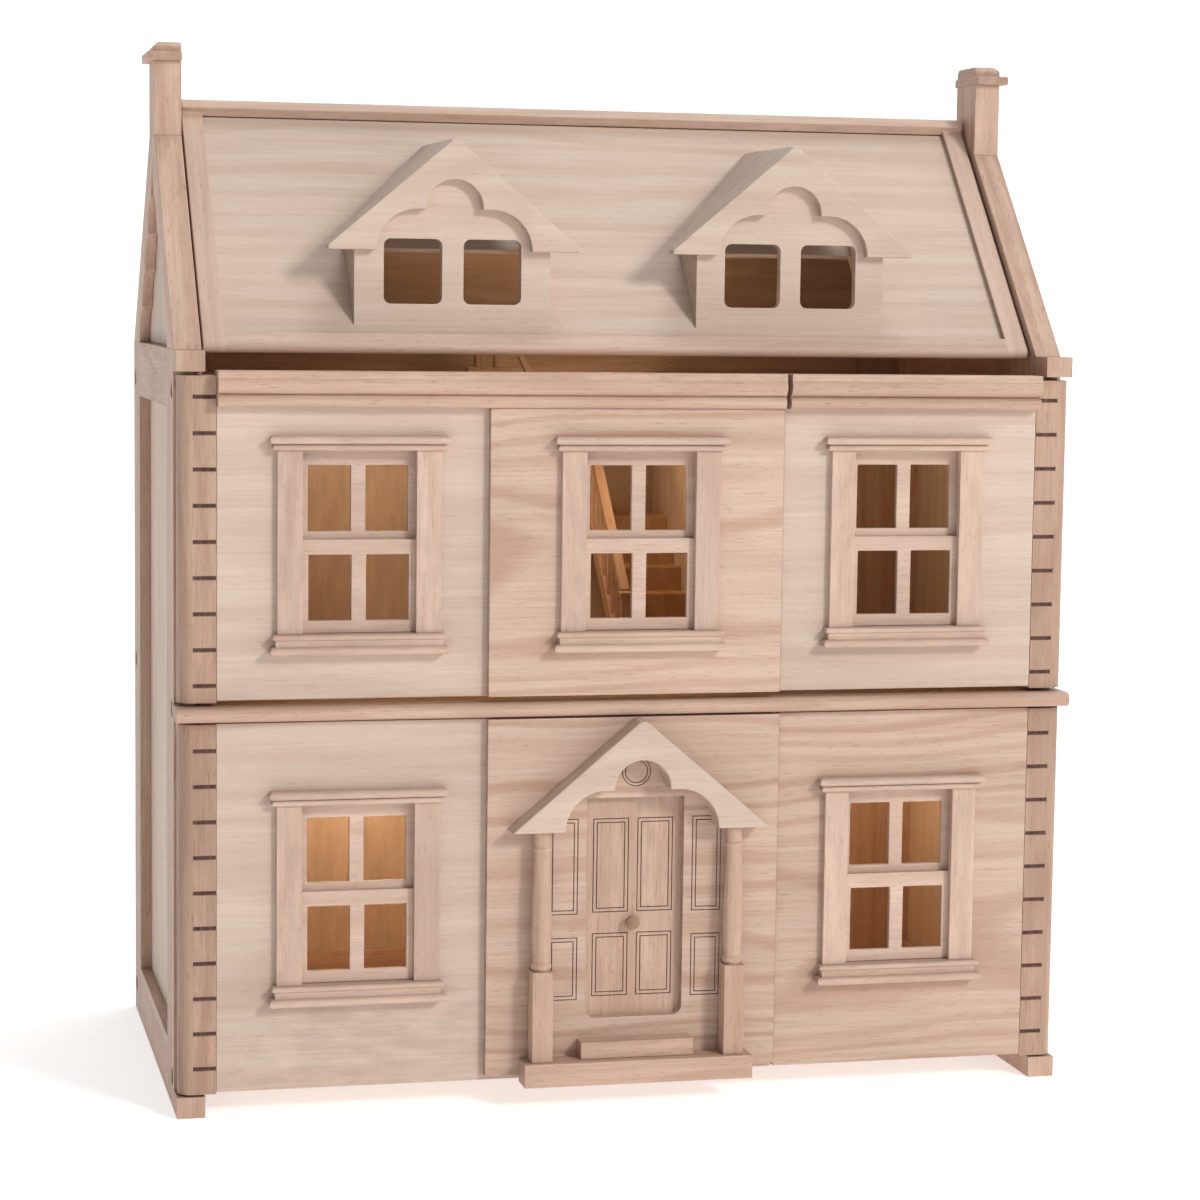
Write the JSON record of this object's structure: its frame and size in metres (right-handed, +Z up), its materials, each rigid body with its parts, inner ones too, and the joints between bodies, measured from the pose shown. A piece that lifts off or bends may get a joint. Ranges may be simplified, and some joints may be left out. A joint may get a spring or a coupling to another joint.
{
  "type": "dollhouse",
  "caption": "Wooden dollhouse with hinged front doors, sliding sash windows, a lifting front roof with dormers, a porch and stairs.",
  "frame": {"origin": "middle of the bounding box in plan, on the floor", "axes": "+Z up, -Y toward the front doors, +X to the right seen from the front"},
  "size_m": [0.64, 0.363, 0.731],
  "materials": {
    "solid_wood": "fine sanded, unvarnished",
    "plywood": "fine sanded, unvarnished",
    "dowel_wood": "turned and sanded",
    "stair_wood": "sanded",
    "bolt_metal": "satin black"
  },
  "bodies": {
    "house": {"left_side_frame": "solid_wood", "right_side_frame": "solid_wood", "side_panels": "plywood", "left_gable_frame": "solid_wood", "right_gable_frame": "solid_wood", "gable_panels": "plywood", "chimneys": "solid_wood", "chimney_caps": "solid_wood", "ground_floor": "solid_wood", "middle_floor": "solid_wood", "attic_floor": "solid_wood", "string_course": "solid_wood", "back_frame": "solid_wood", "back_panels": "plywood", "partitions": "plywood", "lower_stairs": "stair_wood", "upper_stairs": "stair_wood", "stair_strings": "solid_wood", "stair_newels": "solid_wood", "stair_handrails": "solid_wood", "stair_balusters": "solid_wood", "attic_railing": "solid_wood", "rear_roof_frame": "solid_wood", "rear_roof_sheet": "plywood", "pivot_dowels": "dowel_wood", "side_bolts": "bolt_metal"},
    "upper_left_door": {"upper_left_post": "solid_wood", "upper_left_panel": "plywood", "upper_bay_board": "solid_wood", "upper_left_cornice": "solid_wood", "upper_left_casings": "solid_wood", "upper_left_top_sashes": "solid_wood"},
    "upper_right_door": {"upper_right_post": "solid_wood", "upper_right_panel": "plywood", "upper_right_cornice": "solid_wood", "upper_right_casing": "solid_wood", "upper_right_top_sash": "solid_wood"},
    "lower_left_door": {"lower_left_post": "solid_wood", "lower_left_panel": "plywood", "lower_bay_board": "solid_wood", "lower_left_casing": "solid_wood", "lower_left_top_sash": "solid_wood", "porch_pediment": "solid_wood", "porch_columns": "solid_wood", "porch_steps": "solid_wood", "front_door_leaf": "solid_wood", "front_door_knob": "dowel_wood"},
    "lower_right_door": {"lower_right_post": "solid_wood", "lower_right_panel": "plywood", "lower_right_casing": "solid_wood", "lower_right_top_sash": "solid_wood"},
    "front_roof": {"front_roof_frame": "solid_wood", "front_roof_sheet": "plywood", "dormer_faces": "solid_wood", "dormer_roofs": "solid_wood"},
    "upper_left_sash": {"upper_left_sash": "solid_wood"},
    "upper_middle_sash": {"upper_middle_sash": "solid_wood"},
    "upper_right_sash": {"upper_right_sash": "solid_wood"},
    "lower_left_sash": {"lower_left_sash": "solid_wood"},
    "lower_right_sash": {"lower_right_sash": "solid_wood"}
  },
  "joints": [
    {"name": "upper_left_door_hinge", "type": "hinge", "parent": "house", "child": "upper_left_door", "pos_m": [-0.3045, -0.143, 0.4], "axis": [0, 0, -1], "range_deg": [0, 110]},
    {"name": "lower_left_door_hinge", "type": "hinge", "parent": "house", "child": "lower_left_door", "pos_m": [-0.3045, -0.143, 0.14], "axis": [0, 0, -1], "range_deg": [0, 110]},
    {"name": "upper_right_door_hinge", "type": "hinge", "parent": "house", "child": "upper_right_door", "pos_m": [0.3045, -0.143, 0.4], "axis": [0, 0, 1], "range_deg": [0, 110]},
    {"name": "lower_right_door_hinge", "type": "hinge", "parent": "house", "child": "lower_right_door", "pos_m": [0.3045, -0.143, 0.14], "axis": [0, 0, 1], "range_deg": [0, 110]},
    {"name": "front_roof_hinge", "type": "hinge", "parent": "house", "child": "front_roof", "pos_m": [0, 0.03393, 0.68198], "axis": [-1, 0, 0], "range_deg": [0, 150]},
    {"name": "upper_left_sash_slide", "type": "slide", "parent": "upper_left_door", "child": "upper_left_sash", "axis": [0, 0, 1], "range_m": [0, 0.055]},
    {"name": "upper_middle_sash_slide", "type": "slide", "parent": "upper_left_door", "child": "upper_middle_sash", "axis": [0, 0, 1], "range_m": [0, 0.055]},
    {"name": "upper_right_sash_slide", "type": "slide", "parent": "upper_right_door", "child": "upper_right_sash", "axis": [0, 0, 1], "range_m": [0, 0.055]},
    {"name": "lower_left_sash_slide", "type": "slide", "parent": "lower_left_door", "child": "lower_left_sash", "axis": [0, 0, 1], "range_m": [0, 0.055]},
    {"name": "lower_right_sash_slide", "type": "slide", "parent": "lower_right_door", "child": "lower_right_sash", "axis": [0, 0, 1], "range_m": [0, 0.055]}
  ]
}
